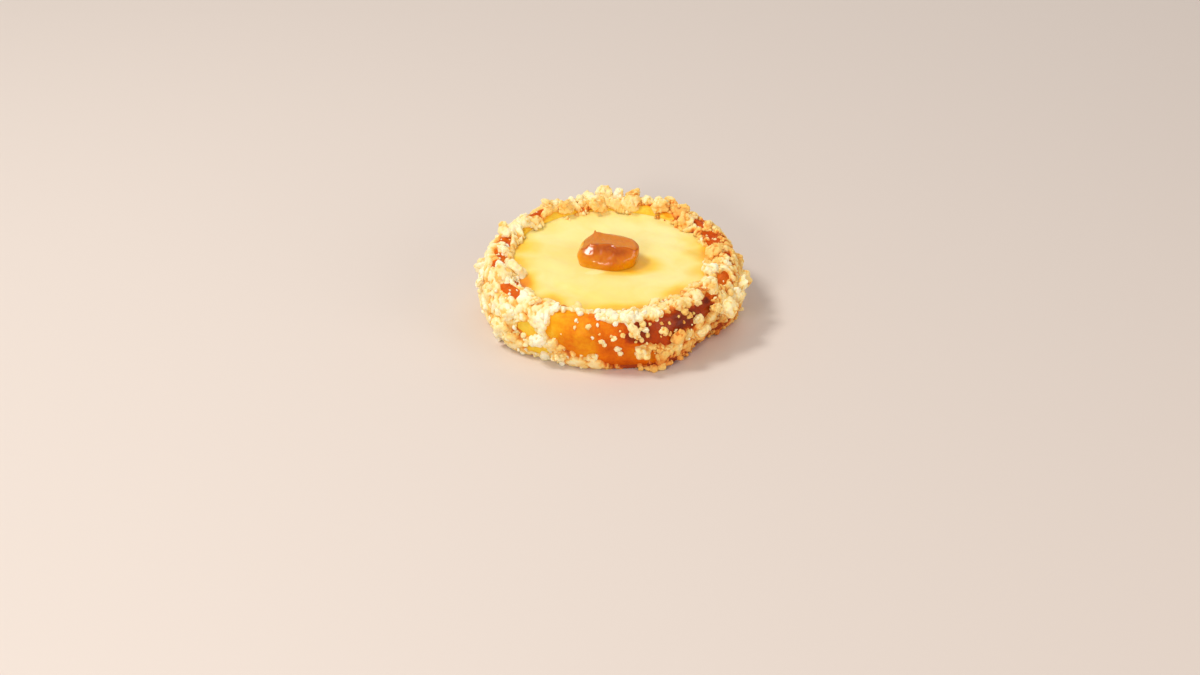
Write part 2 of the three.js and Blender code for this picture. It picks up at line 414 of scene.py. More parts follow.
def maths(nodes, links, operation, a, b, clamp=False):
    node = nodes.new("ShaderNodeMath")
    node.operation = operation
    node.use_clamp = clamp
    for socket, value in zip(node.inputs, (a, b)):
        if isinstance(value, (int, float)):
            socket.default_value = value
        else:
            links.new(value, socket)
    return node.outputs[0]


def shifted(nodes, links, base, pattern, strength):
    """base plus pattern (centred on a half) times strength."""
    centred = maths(nodes, links, "SUBTRACT", pattern, 0.5)
    scaled = maths(nodes, links, "MULTIPLY", centred, strength)
    return maths(nodes, links, "ADD", base, scaled, clamp=True)


def colour_ramp(nodes, links, value, stops):
    node = nodes.new("ShaderNodeValToRGB")
    ramp = node.color_ramp
    while len(ramp.elements) < len(stops):
        ramp.elements.new(0.5)
    for element, (position, colour) in zip(ramp.elements, stops):
        element.position = position
        element.color = linear(*colour)
    links.new(value, node.inputs["Fac"])
    return node.outputs["Color"]


def value_ramp(nodes, links, value, low, high):
    node = nodes.new("ShaderNodeMapRange")
    node.inputs["To Min"].default_value = low
    node.inputs["To Max"].default_value = high
    links.new(value, node.inputs["Value"])
    return node.outputs["Result"]


def bumped(nodes, links, shader, layers):
    """Stacks bumps: each layer is (pattern, strength, distance in millimetres)."""
    normal = None
    for pattern, strength, distance_mm in layers:
        bump = nodes.new("ShaderNodeBump")
        bump.inputs["Strength"].default_value = strength
        bump.inputs["Distance"].default_value = distance_mm * MM
        links.new(pattern, bump.inputs["Height"])
        if normal is not None:
            links.new(normal, bump.inputs["Normal"])
        normal = bump.outputs["Normal"]
    links.new(normal, shader.inputs["Normal"])


def dough_material():
    """Baked dough: pale where crumbs shaded it, orange under egg wash, dark where it caught."""
    material, nodes, links, shader = node_material("baked_dough")
    tone = attribute(nodes, "tone")
    blotches = noise_node(nodes, links, 7, detail=5, roughness=0.6)
    speckle = noise_node(nodes, links, 1.3, detail=3, roughness=0.6)
    tone = shifted(nodes, links, tone, blotches, 0.40)
    tone = shifted(nodes, links, tone, speckle, 0.18)
    colour = colour_ramp(nodes, links, tone, [
        (0.0, (250, 208, 70)), (0.18, (246, 168, 18)), (0.38, (230, 112, 0)),
        (0.56, (194, 70, 0)), (0.76, (124, 38, 4)), (1.0, (60, 13, 2)),
    ])
    links.new(colour, shader.inputs["Base Color"])
    gloss = attribute(nodes, "gloss")
    rough = maths(nodes, links, "SUBTRACT", 0.66, maths(nodes, links, "MULTIPLY", gloss, 0.38))
    links.new(shifted(nodes, links, rough, speckle, 0.15), shader.inputs["Roughness"])
    shader.inputs["Subsurface Weight"].default_value = 0.18
    shader.inputs["Subsurface Radius"].default_value = (1.0, 0.45, 0.2)
    shader.inputs["Subsurface Scale"].default_value = 2.0 * MM
    shader.inputs["Specular IOR Level"].default_value = 0.14
    links.new(maths(nodes, links, "MULTIPLY", gloss, 0.10), shader.inputs["Coat Weight"])
    shader.inputs["Coat Roughness"].default_value = 0.2
    wrinkles = noise_node(nodes, links, 2.2, detail=6, roughness=0.65, distortion=0.6)
    pores = noise_node(nodes, links, 0.5, detail=2, roughness=0.5)
    bumped(nodes, links, shader, [(wrinkles, 0.45, 0.6), (pores, 0.25, 0.12)])
    return material


def filling_material():
    """Baked cheese: pale and satin, deeper yellow towards the rim."""
    material, nodes, links, shader = node_material("cheese")
    tone = attribute(nodes, "tone")
    clouds = noise_node(nodes, links, 16, detail=3, roughness=0.5, distortion=1.2)
    tone = shifted(nodes, links, tone, clouds, 0.36)
    colour = colour_ramp(nodes, links, tone, [
        (0.0, (255, 236, 162)), (0.25, (252, 224, 126)), (0.5, (251, 208, 74)),
        (0.75, (248, 176, 16)), (1.0, (226, 120, 4)),
    ])
    links.new(colour, shader.inputs["Base Color"])
    streaks = noise_node(nodes, links, 3.0, detail=4, roughness=0.55, distortion=0.8)
    links.new(value_ramp(nodes, links, streaks, 0.34, 0.52), shader.inputs["Roughness"])
    shader.inputs["Subsurface Weight"].default_value = 0.35
    shader.inputs["Subsurface Radius"].default_value = (1.0, 0.75, 0.3)
    shader.inputs["Subsurface Scale"].default_value = 2.5 * MM
    shader.inputs["Specular IOR Level"].default_value = 0.4
    grain = noise_node(nodes, links, 0.8, detail=3, roughness=0.5)
    bumped(nodes, links, shader, [(streaks, 0.12, 0.4), (grain, 0.06, 0.1)])
    return material


def caramel_material():
    """Soft caramel: a rosy brown skin on top, lighter partly as a painted reflection of the sky, and
    wetter amber below the skin's front fold.
    """
    material, nodes, links, shader = node_material("caramel")
    tone = attribute(nodes, "tone")
    swirl = noise_node(nodes, links, 5, detail=3, roughness=0.5, distortion=1.5)
    tone = shifted(nodes, links, tone, swirl, 0.16)
    colour = colour_ramp(nodes, links, tone, [
        (0.0, (252, 196, 70)), (0.2, (232, 152, 0)), (0.45, (206, 108, 0)),
        (0.62, (176, 76, 0)), (0.76, (202, 110, 28)), (1.0, (214, 134, 54)),
    ])
    links.new(colour, shader.inputs["Base Color"])
    links.new(value_ramp(nodes, links, swirl, 0.2, 0.42), shader.inputs["Roughness"])
    shader.inputs["Subsurface Weight"].default_value = 0.45
    shader.inputs["Subsurface Radius"].default_value = (1.0, 0.4, 0.08)
    shader.inputs["Subsurface Scale"].default_value = 4.0 * MM
    shader.inputs["Specular IOR Level"].default_value = 0.1
    # The skin is the part with a high tone, and it is less wet.
    skin = maths(nodes, links, "GREATER_THAN", tone, 0.66)
    wet = maths(nodes, links, "SUBTRACT", 0.75, maths(nodes, links, "MULTIPLY", skin, 0.6))
    links.new(wet, shader.inputs["Coat Weight"])
    shader.inputs["Coat Roughness"].default_value = 0.03
    ripple = noise_node(nodes, links, 2.6, detail=1, roughness=0.4)
    bumped(nodes, links, shader, [(ripple, 0.7, 1.3)])
    return material


def streusel_material():
    """Butter crumbs: cream where they are thick, tan or orange where they toasted and where shade is
    painted between grains and on the shaded right.
    """
    material, nodes, links, shader = node_material("streusel")
    tone = attribute(nodes, "tone")
    clouds = noise_node(nodes, links, 3.0, detail=4, roughness=0.6)
    grain = noise_node(nodes, links, 0.6, detail=3, roughness=0.7)
    tone = shifted(nodes, links, tone, clouds, 0.28)
    tone = shifted(nodes, links, tone, grain, 0.12)
    colour = colour_ramp(nodes, links, tone, [
        (0.0, (255, 246, 216)), (0.2, (255, 232, 172)), (0.42, (249, 204, 114)),
        (0.62, (240, 168, 76)), (0.8, (220, 118, 34)), (1.0, (164, 60, 12)),
    ])
    links.new(colour, shader.inputs["Base Color"])
    links.new(value_ramp(nodes, links, grain, 0.7, 0.95), shader.inputs["Roughness"])
    shader.inputs["Subsurface Weight"].default_value = 0.25
    shader.inputs["Subsurface Radius"].default_value = (1.0, 0.7, 0.35)
    shader.inputs["Subsurface Scale"].default_value = 1.2 * MM
    shader.inputs["Specular IOR Level"].default_value = 0.3
    bumped(nodes, links, shader, [(clouds, 0.25, 0.4), (grain, 0.45, 0.15)])
    return material


def floor_material():
    """A plain pale floor, a little pink like the photograph's paper."""
    material, _, _, shader = node_material("pale_floor")
    shader.inputs["Base Color"].default_value = (0.72, 0.63, 0.57, 1)
    shader.inputs["Roughness"].default_value = 0.7
    return material


# ---------------------------------------------------------------- dough

def joined_rings(rings):
    """The points of a turned shape: each ring is an (around, 3) array, each end a single point."""
    return np.concatenate([np.asarray(ring, float).reshape(-1, 3) for ring in rings])


# Rings of the flat underside, as shares of the foot's radius.
UNDERSIDE_RINGS = (0.15, 0.5, 0.8, 0.95)
WELL_FLOOR_RADIUS = WELL_RADIUS - WELL_TAPER
# Rings down the hidden well wall and over its floor: (radius, height).
WELL_RINGS = [
    (WELL_FLOOR_RADIUS + 1.2, FLOOR_HEIGHT + 4), (WELL_FLOOR_RADIUS, FLOOR_HEIGHT),
    (WELL_FLOOR_RADIUS / 2, FLOOR_HEIGHT),
]
# The tone of the dough that doesn't show.
UNDERSIDE_TONE = 0.35
WELL_TONE = 0.3


def dough(material):
    """The baked dough: underside, lumpy rim and well, as one closed turned shape."""
    around, steps = 460, 110
    angle = np.arange(around) * 360.0 / around
    share = np.linspace(0, 1, steps)
    foot, _ = rim_surface(angle, np.zeros(around))
    rings = [[0, 0, 0]]
    rings += [foot * inwards for inwards in UNDERSIDE_RINGS]
    rim_angle = np.tile(angle, steps)
    rim_share = np.repeat(share, around)
    surface, out = rim_surface(rim_angle, rim_share)
    # The foot and the lip keep their places, where the floor and the filling meet them.
    free = smoothstep(0.0, 0.06, rim_share) * smoothstep(1.0, 0.97, rim_share)
    washed, dark, spots, yellow = rim_masks(surface, rim_angle, rim_share)
    skin = np.maximum(washed, dark)
    lumps = 0.6 * noise(surface, 15, 3) + 0.4 * noise(surface, 6.5, 4)
    creases = 0.22 * rough_noise(surface, 2.6, 5)
    folds = 0.35 * noise(surface * [0.5, 0.5, 1.6], 3.2, 6)
    moved = free * (lumps + creases * (1 - 0.55 * skin) + folds * (0.4 * washed + dark))
    surface = surface + out * moved[:, None]
    surface[:, 2] = np.maximum(surface[:, 2], 0)
    rings.append(surface)
    for radius, height in WELL_RINGS:
        rings.append(hand_shaped(on_axis(angle, np.full(around, radius), np.full(around, height))))
    rings.append([0, 0, FLOOR_HEIGHT])
    points = joined_rings(rings)

    tone = 0.35 + 0.08 * noise(surface, 9, 12) - 0.02 * washed + 0.34 * dark + 0.13 * spots
    tone = tone - 0.33 * yellow + 0.18 * smoothstep(0.30, 0.1, rim_share) * washed
    signed_angle = rim_angle - 360 * (rim_angle > 180)
    golden_side = smoothstep(-14, -30, signed_angle) * washed
    red_side = smoothstep(-14, 6, signed_angle) * washed * (1 - dark)
    tone = tone - 0.10 * golden_side + 0.12 * red_side * smoothstep(0.2, 0.5, rim_share)
    gloss = np.clip(0.2 * washed + 1.0 * dark + 0.4 * spots, 0, 1)
    below = 1 + len(UNDERSIDE_RINGS) * around
    above = len(WELL_RINGS) * around + 1
    tones = np.concatenate([np.full(below, UNDERSIDE_TONE), tone, np.full(above, WELL_TONE)])
    glosses = np.concatenate([np.zeros(below), gloss, np.zeros(above)])
    faces = turned_faces(len(UNDERSIDE_RINGS) + steps + len(WELL_RINGS), around)
    obj = smooth_object("dough", points, faces, {"tone": tones, "gloss": glosses})
    return finish_piece(obj, material, ["dough_base"])


# ---------------------------------------------------------------- filling

# Where the filling's edge is a deeper yellow or orange: (angle, half width in degrees, strength).
WARM_EDGES = [
    (-64, 13, 0.74), (-90, 10, 0.40), (-112, 12, 0.34), (-38, 10, 0.40), (4, 26, 0.42),
    (47, 12, 0.50), (80, 10, 0.34), (98, 12, 0.50), (118, 10, 0.24), (162, 8, 0.14),
    (-140, 10, 0.14),
]
# Painted light in the cheese around the caramel: its painted shadow, an orange glow beside and in
# front of it, and a painted highlight in front of its left part where strength is negative: (middle
# x, middle y, half width, half depth, where it fades out and where it is full as shares of these,
# strength).
CARAMEL_PAINTED_SHADOW_AND_HIGHLIGHT = [
    (10, -1.5, 11, 8, 1.25, 0.5, 0.42),
    (4.5, -8.8, 9, 2.6, 1.3, 0.4, 0.30),
    (-6, -8.6, 4, 1.4, 1.2, 0.5, -0.30),
]
# How far the filling reaches past the well's edge, and how far over the well's floor it starts.
FILLING_TUCK = 1.0
FILLING_UNDERSIDE = 1


def filling(material):
    """The cheese: a closed disc whose top is domed and softly swept."""
    around, rings = 300, 100
    edge = WELL_RADIUS + FILLING_TUCK
    bottom = FLOOR_HEIGHT + FILLING_UNDERSIDE
    share = np.linspace(1, 0, rings)
    radius = np.concatenate([[0, (edge - 4) / 2, edge - 4, edge - 0.8], edge * share])
    height = np.concatenate([[bottom, bottom, bottom, LIP_HEIGHT - 3], np.full(rings, LIP_HEIGHT)])
    top = np.concatenate([[0, 0, 0, 0], np.ones(rings)])
    points = turned_points(radius, height, around)
    is_top = np.concatenate([[0], np.repeat(top[1:-1], around), [1]])
    from_middle = np.hypot(points[:, 0], points[:, 1]) / edge
    angle = angle_from_front(points)
    dome = FILLING_DOME * (1 - from_middle ** 2)
    swell = (0.75 * noise(points, 17, 41) + 0.40 * noise(points, 8, 42)) * (1 - from_middle ** 6)
    # The knife left shallow sweeps from the back left towards the front right.
    along = points[:, 0] * 0.8 - points[:, 1] * 0.6
    across = points[:, 0] * 0.6 + points[:, 1] * 0.8
    sweeps = 0.20 * noise(np.stack([along / 4, across, 0 * along], 1), 4.5, 43)
    meniscus = 0.5 * smoothstep(0.93, 1.0, from_middle)
    points[:, 2] += is_top * (dome + swell + sweeps + meniscus)
    warm = np.zeros(len(points))
    for centre, half_width, strength in WARM_EDGES:
        beside = np.abs(turn_between(angle, centre)) / half_width
        reach = 0.70 + 0.05 * noise(points, 7, 46)
        inwards = smoothstep(0, 0.17, from_middle - reach)
        warm = np.maximum(warm, strength * smoothstep(1.3, 0.2, beside) * inwards)
    edge_tone = smoothstep(0.84, 1.0, from_middle + 0.05 * noise(points, 10, 44))
    # Towards the back the cheese is painted paler and its deeper yellow edge weaker: a painted sheen
    # from the back lamp.
    back = smoothstep(100, 140, np.abs(angle))
    tone = 0.18 + (0.26 - 0.16 * back) * edge_tone + 0.9 * warm + 0.08 * noise(points, 12, 45)
    tone = tone - 0.14 * back * smoothstep(0.3, 0.7, from_middle)
    front = smoothstep(60, 15, np.abs(angle)) * smoothstep(0.35, 0.95, from_middle)
    tone = tone + 0.12 * front
    # Paints the caramel's shadow glow and the highlight into the cheese's tone.
    for middle_x, middle_y, half_x, half_y, faded, full, strength in CARAMEL_PAINTED_SHADOW_AND_HIGHLIGHT:
        away = np.hypot((points[:, 0] - middle_x) / half_x, (points[:, 1] - middle_y) / half_y)
        tone = tone + strength * smoothstep(faded, full, away)
    shaped = hand_shaped(points)
    faces = turned_faces(len(radius) - 2, around)
    obj = smooth_object("filling", shaped, faces, {"tone": tone})
    return finish_piece(obj, material, ["cheese_filling"])


# ---------------------------------------------------------------- caramel

# Half its length and depth, and its middle, in millimetres.
CARAMEL_HALF = (12.4, 10.2)
CARAMEL_MIDDLE = (-1.5, 1.8)
# Its height before the skin flattens it, how far it is set into the cheese, and its turn seen
# from above in degrees.
CARAMEL_TOP = 10.2
CARAMEL_SUNK = 0.3
CARAMEL_TURN = -11
# Below 1 the outline is squarer than an ellipse.
CARAMEL_CORNERS = 0.80
# Its sides bulge at the foot and lean in above, by this much times the height squared.
LEAN_FRONT = 0.065
LEAN_BACK = 0.030
LEAN_LEFT = 0.055
# Where the peak was drawn up, before the caramel is turned.
PEAK = (-5.6, 4.8)


def signed_power(value, power):
    return np.sign(value) * np.abs(value) ** power


def caramel(material):
    """The dollop: an oblong with a sloping skin, a wavy fold at its front and a drawn-up peak."""
    around, rings = 220, 130
    foot = LIP_HEIGHT + FILLING_DOME - CARAMEL_SUNK
    turn = np.linspace(-1, 1, rings + 2)[1:-1]
    angle = np.arange(around) * 360.0 / around
    unit = on_axis(np.tile(angle, rings), np.repeat(np.cos(turn * np.pi / 2), around),
                   np.repeat(np.sin(turn * np.pi / 2), around))
    unit = np.concatenate([[[0, 0, -1.0]], unit, [[0, 0, 1.0]]])
    x, y, z = unit.T
    level = np.sqrt(np.maximum(1 - z ** 2, 1e-9))
    heading = np.arctan2(y, x)
    side = 1 + 0.03 * np.cos(3 * heading + 0.7) + 0.02 * np.cos(5 * heading)
    # The outline is a soft oblong that stays wide up to the shoulder and tucks in at the foot.
    tucked = 1 - 0.07 * smoothstep(0.05, -0.3, z)
    at_right = smoothstep(0.2, 0.9, x)
    spread = side * tucked / level ** (0.25 * at_right)
    px = signed_power(x / level, CARAMEL_CORNERS) * level * spread * CARAMEL_HALF[0]
    py = signed_power(y / level, CARAMEL_CORNERS) * level * spread * CARAMEL_HALF[1]
    rise = np.maximum(z + 0.3, 0) / 1.3
    body = CARAMEL_TOP * rise ** (0.74 - 0.16 * at_right)
    py += LEAN_FRONT * body ** 2 * smoothstep(0.1, -0.8, y)
    py -= LEAN_BACK * body ** 2 * smoothstep(0.1, 0.8, y)
    px += LEAN_LEFT * body ** 2 * smoothstep(-0.1, -0.9, x)
    # A flat skin slopes down to the front and to the right, and its front edge is a wavy fold.
    skin = CARAMEL_TOP * (0.82 - 0.04 * px / CARAMEL_HALF[0] + 0.20 * py / CARAMEL_HALF[1])
    blend = smoothstep(-1.2, 1.2, body - skin)
    top = body + (skin - body) * blend * 0.9
    fold_line = -3.2 + 0.6 * np.sin(0.42 * px + 1.2) + 0.3 * np.sin(0.9 * px)
    on_top = smoothstep(0.30, 0.65, z)
    fold = 0.50 * np.exp(-((py - fold_line) / 1.1) ** 2) * on_top
    hollow = -0.6 * np.exp(-((px - 1.5) / 6) ** 2 - ((py - 1.5) / 3.6) ** 2) * on_top
    from_peak = np.hypot(px - PEAK[0], py - PEAK[1])
    peak = 1.2 * np.exp(-(from_peak / 3.0) ** 2) * on_top
    wisp = 1.2 * np.exp(-(from_peak / 0.45) ** 2) * on_top
    points = np.stack([px, py, top + fold + hollow + peak + wisp], 1)
    points[:, :2] += 0.28 * noise(points, 5, 61)[:, None] * smoothstep(0, 0.6, z)[:, None]
    bulge = noise(points * [1, 1, 0.8], 4.2, 62) + 0.5 * noise(points, 2.0, 63)
    outwards = np.stack([np.cos(heading), np.sin(heading), 0 * heading], 1)
    points += outwards * (0.45 * bulge * smoothstep(-0.2, 0.2, z))[:, None]
    turned = math.radians(CARAMEL_TURN)
    points[:, :2] = points[:, :2] @ [[math.cos(turned), math.sin(turned)],
                                     [-math.sin(turned), math.cos(turned)]]
    points += [CARAMEL_MIDDLE[0], CARAMEL_MIDDLE[1], foot]
    behind_fold = smoothstep(-0.5, 0.5, py - fold_line + 0.9 * noise(points, 2.5, 64))
    # The skin is painted a lighter rosy brown: partly the skin's own colour, partly a painted
    # reflection of the sky on the top.
    skin_and_sky_reflection = smoothstep(0.24, 0.40, z) * behind_fold
    tone = 0.36 + 0.58 * skin_and_sky_reflection
    below_fold = np.exp(-((py - fold_line + 2.0) / 2.0) ** 2) * smoothstep(0.1, 0.4, z)
    tone = tone + 0.20 * below_fold * (1 - skin_and_sky_reflection)
    thin = smoothstep(0.15, -0.3, z) * (1 - skin_and_sky_reflection)
    tone = tone - 0.12 * thin - 0.16 * smoothstep(-0.5, -0.95, x) * (1 - skin_and_sky_reflection)
    tone = tone + 0.10 * np.exp(-((px - 3) / 4) ** 2) * (1 - skin_and_sky_reflection)
    obj = smooth_object("caramel", hand_shaped(points), turned_faces(rings, around), {"tone": tone})
    return finish_piece(obj, material, ["caramel_dollop"])


# ---------------------------------------------------------------- streusel

def toast_and_painted_light(points):
    """Crumb tone: toasting, pale at the left and front and tan at the right and the back, the tan at
    the right partly painted shade; painted shade on the low right front flank; a painted highlight
    on the front crest.
    """
    angle = angle_from_front(points)
    # Tan towards the right: partly toasting, partly painted shade on the side away from the key
    # lamp.
    to_the_right = smoothstep(-30, 45, points[:, 0])
    tone = 0.25 + 0.10 * to_the_right + 0.05 * smoothstep(-10, 45, points[:, 1])
    tone = tone - 0.03 * smoothstep(0, -40, points[:, 0])
    tone = tone + 0.16 * noise(points, 9, 71) + 0.14 * noise(points, 3.5, 72)
    # Painted shade on the low flank at the right front, where the pastry tucks in.
    low = smoothstep(12, 0, points[:, 2])
    right_front = smoothstep(48, 15, np.abs(turn_between(angle, 44)))
    # Painted highlight: the crumbs on the crest at the front are painted paler.
    at_front = smoothstep(75, 30, np.abs(turn_between(angle, -5)))
    front_crest = smoothstep(17, 22, points[:, 2]) * at_front
    return tone + 0.34 * low * right_front - 0.10 * front_crest


def crumb_relief(points, seed):
    """The surface of packed streusel: (height in millimetres, painted shade from 0 on a grain's top
    to 1 deep between grains).
    """
    strayed = points + 0.5 * np.stack([noise(points, 1.6, seed + i) for i in (60, 61, 62)], 1)
    coarse = grain_height(strayed, 4.6, seed)
    middling = grain_height(strayed, 2.1, seed + 10)
    fine = grain_height(points, 1.0, seed + 20)
    height = 1.15 * coarse + 0.98 * middling + 0.46 * fine
    # Painted shade deep between the grains.
    painted_gap_shade = smoothstep(1.70, 0.65, height)
    return height, painted_gap_shade


# The coat's two bands: (name, first and last share, steps, shares it rises and sinks over). The
# upper band rises out of the dough where the lower band starts to sink into it.
COAT_BANDS = [("lower", 0.0, 0.60, 64, 0.03, 0.07), ("upper", 0.50, 1.19, 86, 0.03, 0.03)]
COAT_AROUND = 1040
COAT_UNDER_STEPS = 8
# How deep in the dough the coat lies, in millimetres: on bare patches, at a band's ends, and its
# hidden inner side.
SUNK_WHERE_BARE = 1.1
SUNK_AT_ENDS = 1.3
INNER_SIDE = 1.9


def crumb_coat(material):
    """A thin crust of packed crumbs over the rim, in two bands, each a closed ring."""
    around = COAT_AROUND
    for label, low, high, steps, fade_in, fade_out in COAT_BANDS:
        angle = np.arange(around) * 360.0 / around
        share = np.linspace(low, high, steps)
        under = np.linspace(high, low, COAT_UNDER_STEPS)
        section = np.concatenate([share, under])
        grid_angle = np.repeat(angle, len(section))
        grid_share = np.tile(section, around)
        is_outer = np.tile(np.arange(len(section)) < steps, around)
        place, out = rim_surface(grid_angle, grid_share)
        cover = crumb_cover(place, grid_angle, grid_share)
        height, painted_gap_shade = crumb_relief(place, COAT_SEED)
        risen = smoothstep(0, fade_in, grid_share - low)
        inside_band = risen * smoothstep(0, fade_out, high - grid_share)
        thin_foot = 0.4 + 0.6 * smoothstep(0.0, 0.3, grid_share)
        patchy = smoothstep(0.15, 0.75, cover)
        lift = patchy * (0.05 + height * thin_foot) - (1 - patchy) * SUNK_WHERE_BARE
        lift = lift * inside_band - SUNK_AT_ENDS * (1 - inside_band)
        lift = np.where(is_outer, lift, -INNER_SIDE)
        points = place + out * lift[:, None]
        points[:, 2] = np.maximum(points[:, 2], 0.03)
        # Painted shade between grains, a little weaker on the left, the side the key lamp lights.
        key_lit_side = smoothstep(-5, -35, points[:, 0])
        tone = toast_and_painted_light(points) + (0.52 - 0.08 * key_lit_side) * painted_gap_shade + 0.25 * (1 - patchy)
        faces = ring_band_faces(around, len(section))
        obj = smooth_object("crumb_coat_" + label, points, faces, {"tone": tone})
        finish_piece(obj, material)


def ring_band_faces(around, section):
    """Quads of a closed ring whose cross-section loop has section points."""
    i = np.repeat(np.arange(around), section)
    j = np.tile(np.arange(section), around)
    here = i * section + j
    up = i * section + (j + 1) % section
    ahead = (i + 1) % around * section + j
    ahead_up = (i + 1) % around * section + (j + 1) % section
    return np.stack([here, ahead, ahead_up, up], 1)


def grain_shapes(count, subdivisions, seed):
    """Lumpy unit grains to copy: (points, triangles) for each."""
    shapes = []
    ball = bmesh.new()
    bmesh.ops.create_icosphere(ball, subdivisions=subdivisions, radius=1)
    base = np.array([v.co[:] for v in ball.verts])
    triangles = np.array([[v.index for v in f.verts] for f in ball.faces])
    ball.free()
    for i in range(count):
        shape = base.copy()
        broad = noise(base + 7 * i, 0.9, seed + i)
        fine = noise(base + 7 * i, 0.4, seed + 50 + i)
        shape *= (1 + 0.34 * broad + 0.22 * fine)[:, None]
        stretch = 1 + 0.35 * (2 * random.random(3) - 1)
        shapes.append((shape * stretch, triangles))
    return shapes


def random_turns(count):
    """Random rotation matrices."""
    q = random.normal(size=(count, 4))
    w, x, y, z = (q / np.linalg.norm(q, axis=1, keepdims=True)).T
    return np.stack([
        np.stack([1 - 2 * (y * y + z * z), 2 * (x * y - z * w), 2 * (x * z + y * w)], 1),
        np.stack([2 * (x * y + z * w), 1 - 2 * (x * x + z * z), 2 * (y * z - x * w)], 1),
        np.stack([2 * (x * z - y * w), 2 * (y * z + x * w), 1 - 2 * (x * x + y * y)], 1),
    ], 1)


def copied_grains(shapes, centres, sizes):
    """One grain of a random shape at each centre: all points, all triangles, grain of each point."""
    turns = random_turns(len(centres))
    points, triangles, owner = [], [], []
    start = 0
    for i, (centre, size, turn) in enumerate(zip(centres, sizes, turns)):
        shape, faces = shapes[i % len(shapes)]
        points.append(shape @ turn.T * size + centre)
        triangles.append(faces + start)
        owner.append(np.full(len(shape), i))
        start += len(shape)
    return np.concatenate(points), np.concatenate(triangles), np.concatenate(owner)


def merged_surface(name, points, triangles, voxel):
    """The outer surface of overlapping closed lumps, as (points, quads, normals)."""
    rough = smooth_object(name + "_lumps", points, triangles)
    remesh = rough.modifiers.new("merge", "REMESH")
    remesh.mode = "VOXEL"
    remesh.voxel_size = voxel * MM
    depsgraph = bpy.context.evaluated_depsgraph_get()
    mesh = rough.evaluated_get(depsgraph).to_mesh()
    merged = np.empty(len(mesh.vertices) * 3, np.float32)
    mesh.vertices.foreach_get("co", merged)
    faces = [tuple(p.vertices) for p in mesh.polygons]
    normals = np.empty(len(mesh.vertices) * 3, np.float32)
    mesh.vertices.foreach_get("normal", normals)
    rough.evaluated_get(depsgraph).to_mesh_clear()
    data = rough.data
    bpy.data.objects.remove(rough)
    bpy.data.meshes.remove(data)
    return merged.reshape(-1, 3).astype(float) / MM, faces, normals.reshape(-1, 3)


# How finely a clump's lumps are merged, in millimetres.
MERGE_VOXEL = 0.30
# A clump's lumps are left off where the crumbs' cover, from 0 to 1, is less than this.
LEAST_COVER = 0.3


def clump_pieces(material):
    """One crumbly clump for each of the part's streusel nodes."""
    shapes = grain_shapes(14, 2, 300)
    names = sorted(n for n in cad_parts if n.startswith("streusel_"))
    for node in names:
        corners = np.array([v.co[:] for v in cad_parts[node].data.vertices]) / MM
        middle = (corners.min(0) + corners.max(0)) / 2
        angle = angle_from_front(middle[None])[0]
        shares = np.linspace(0.05, 1, 96)
        surface, normal = rim_surface(np.full(len(shares), angle), shares)
        nearest = np.argmin(np.linalg.norm(surface - middle, axis=1))
        share, out = shares[nearest], normal[nearest]
        around = np.cross([0, 0, 1.0], out)
        around /= np.linalg.norm(around)
        across = np.cross(out, around)
        half_around = np.ptp(corners @ around) / 2
        half_across = np.ptp(corners @ across) / 2
        radius = math.hypot(middle[0], middle[1])
        # A few lumps lean together, the biggest in the middle.
        count = int(0.34 * half_around * half_across) + 3
        u = random.uniform(-1, 1, count) * np.linspace(0.1, 1, count)
        v = random.uniform(-1, 1, count) * np.linspace(0.1, 1, count)
        sizes = np.linspace(1.0, 0.5, count) * random.uniform(1.5, 2.5)
        sizes = sizes * random.uniform(0.8, 1.15, count)
        angles = angle + np.degrees(u * half_around / radius)
        lump_shares = np.clip(share + v * half_across / RIM_LENGTH, 0.03, 1.03)
        base, outs = rim_surface(angles, lump_shares)
        kept = crumb_cover(base, angles, lump_shares) > LEAST_COVER
        kept[0] = True
        base, outs, sizes = base[kept], outs[kept], sizes[kept]
        heights = sizes * random.uniform(0.0, 0.65, len(sizes))
        centres = base + outs * heights[:, None]
        centres[:, 2] = np.maximum(centres[:, 2], 0.85 * sizes)
        points, triangles, _ = copied_grains(shapes, centres, sizes)
        points, faces, normals = merged_surface(node, points, triangles, MERGE_VOXEL)
        crumbly = grain_height(points, 1.5, GRAIN_SEED)
        fine = grain_height(points, 0.8, FINE_GRAIN_SEED)
        relief = 0.60 * crumbly + 0.36 * fine
        points = points + normals * (relief - 0.25)[:, None]
        points[:, 2] = np.maximum(points[:, 2], 0.02)
        # Painted shade between the clump's grains.
        painted_gap_shade = smoothstep(0.55, 0.1, relief)
        tone = toast_and_painted_light(points) + random.normal(0, 0.06) + 0.34 * painted_gap_shade - 0.06
        obj = smooth_object(node.replace("streusel", "clump"), points, faces, {"tone": tone})
        finish_piece(obj, material, [node])


